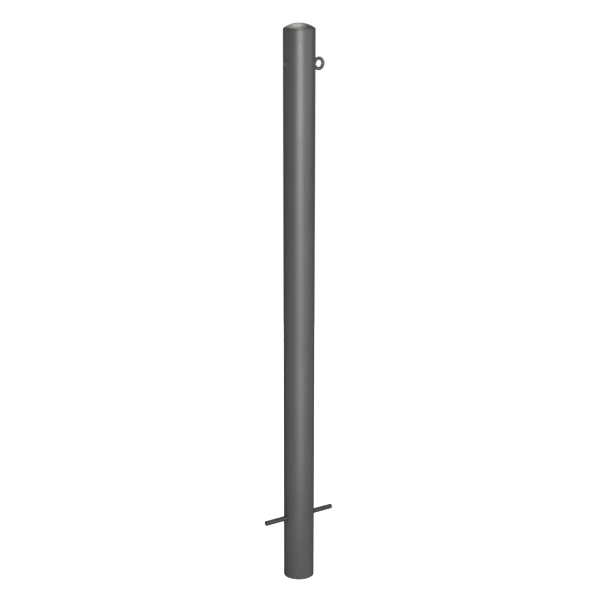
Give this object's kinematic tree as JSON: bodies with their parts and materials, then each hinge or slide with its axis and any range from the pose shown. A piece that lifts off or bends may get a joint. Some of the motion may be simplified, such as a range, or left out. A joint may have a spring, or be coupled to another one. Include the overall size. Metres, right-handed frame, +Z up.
{
  "type": "steel safety bollard",
  "caption": "Slender round steel security post with a spherical domed cap, a chain eye near the top and a loose anchor bar through its foot for casting in concrete.",
  "frame": {"origin": "centre of the post's open lower end", "axes": "+Z up along the post, +X towards the chain eye, anchor bar along X"},
  "size_m": [0.2, 0.076, 1.375],
  "materials": {
    "post_paint": "satin dark grey powder coat",
    "fitting_paint": "satin dark grey coat over plated steel",
    "bar_paint": "satin dark grey coat on round bar",
    "insert_steel": "zinc plated steel; the insert flanges outside the post are painted over"
  },
  "bodies": {
    "post": {"post_tube": "post_paint", "dome_cap": "post_paint", "cap_weld": "post_paint", "eye_bolt": "fitting_paint", "eye_rivet_nut": "insert_steel", "blank_rivet_nut": "insert_steel", "blanking_screw": "insert_steel"},
    "anchor_bar": {"anchor_bar": "bar_paint"}
  },
  "joints": [
    {"name": "anchor_bar_slide", "type": "slide", "parent": "post", "child": "anchor_bar", "axis": [1, 0, 0], "range_m": [-0.06, 0.06]}
  ]
}
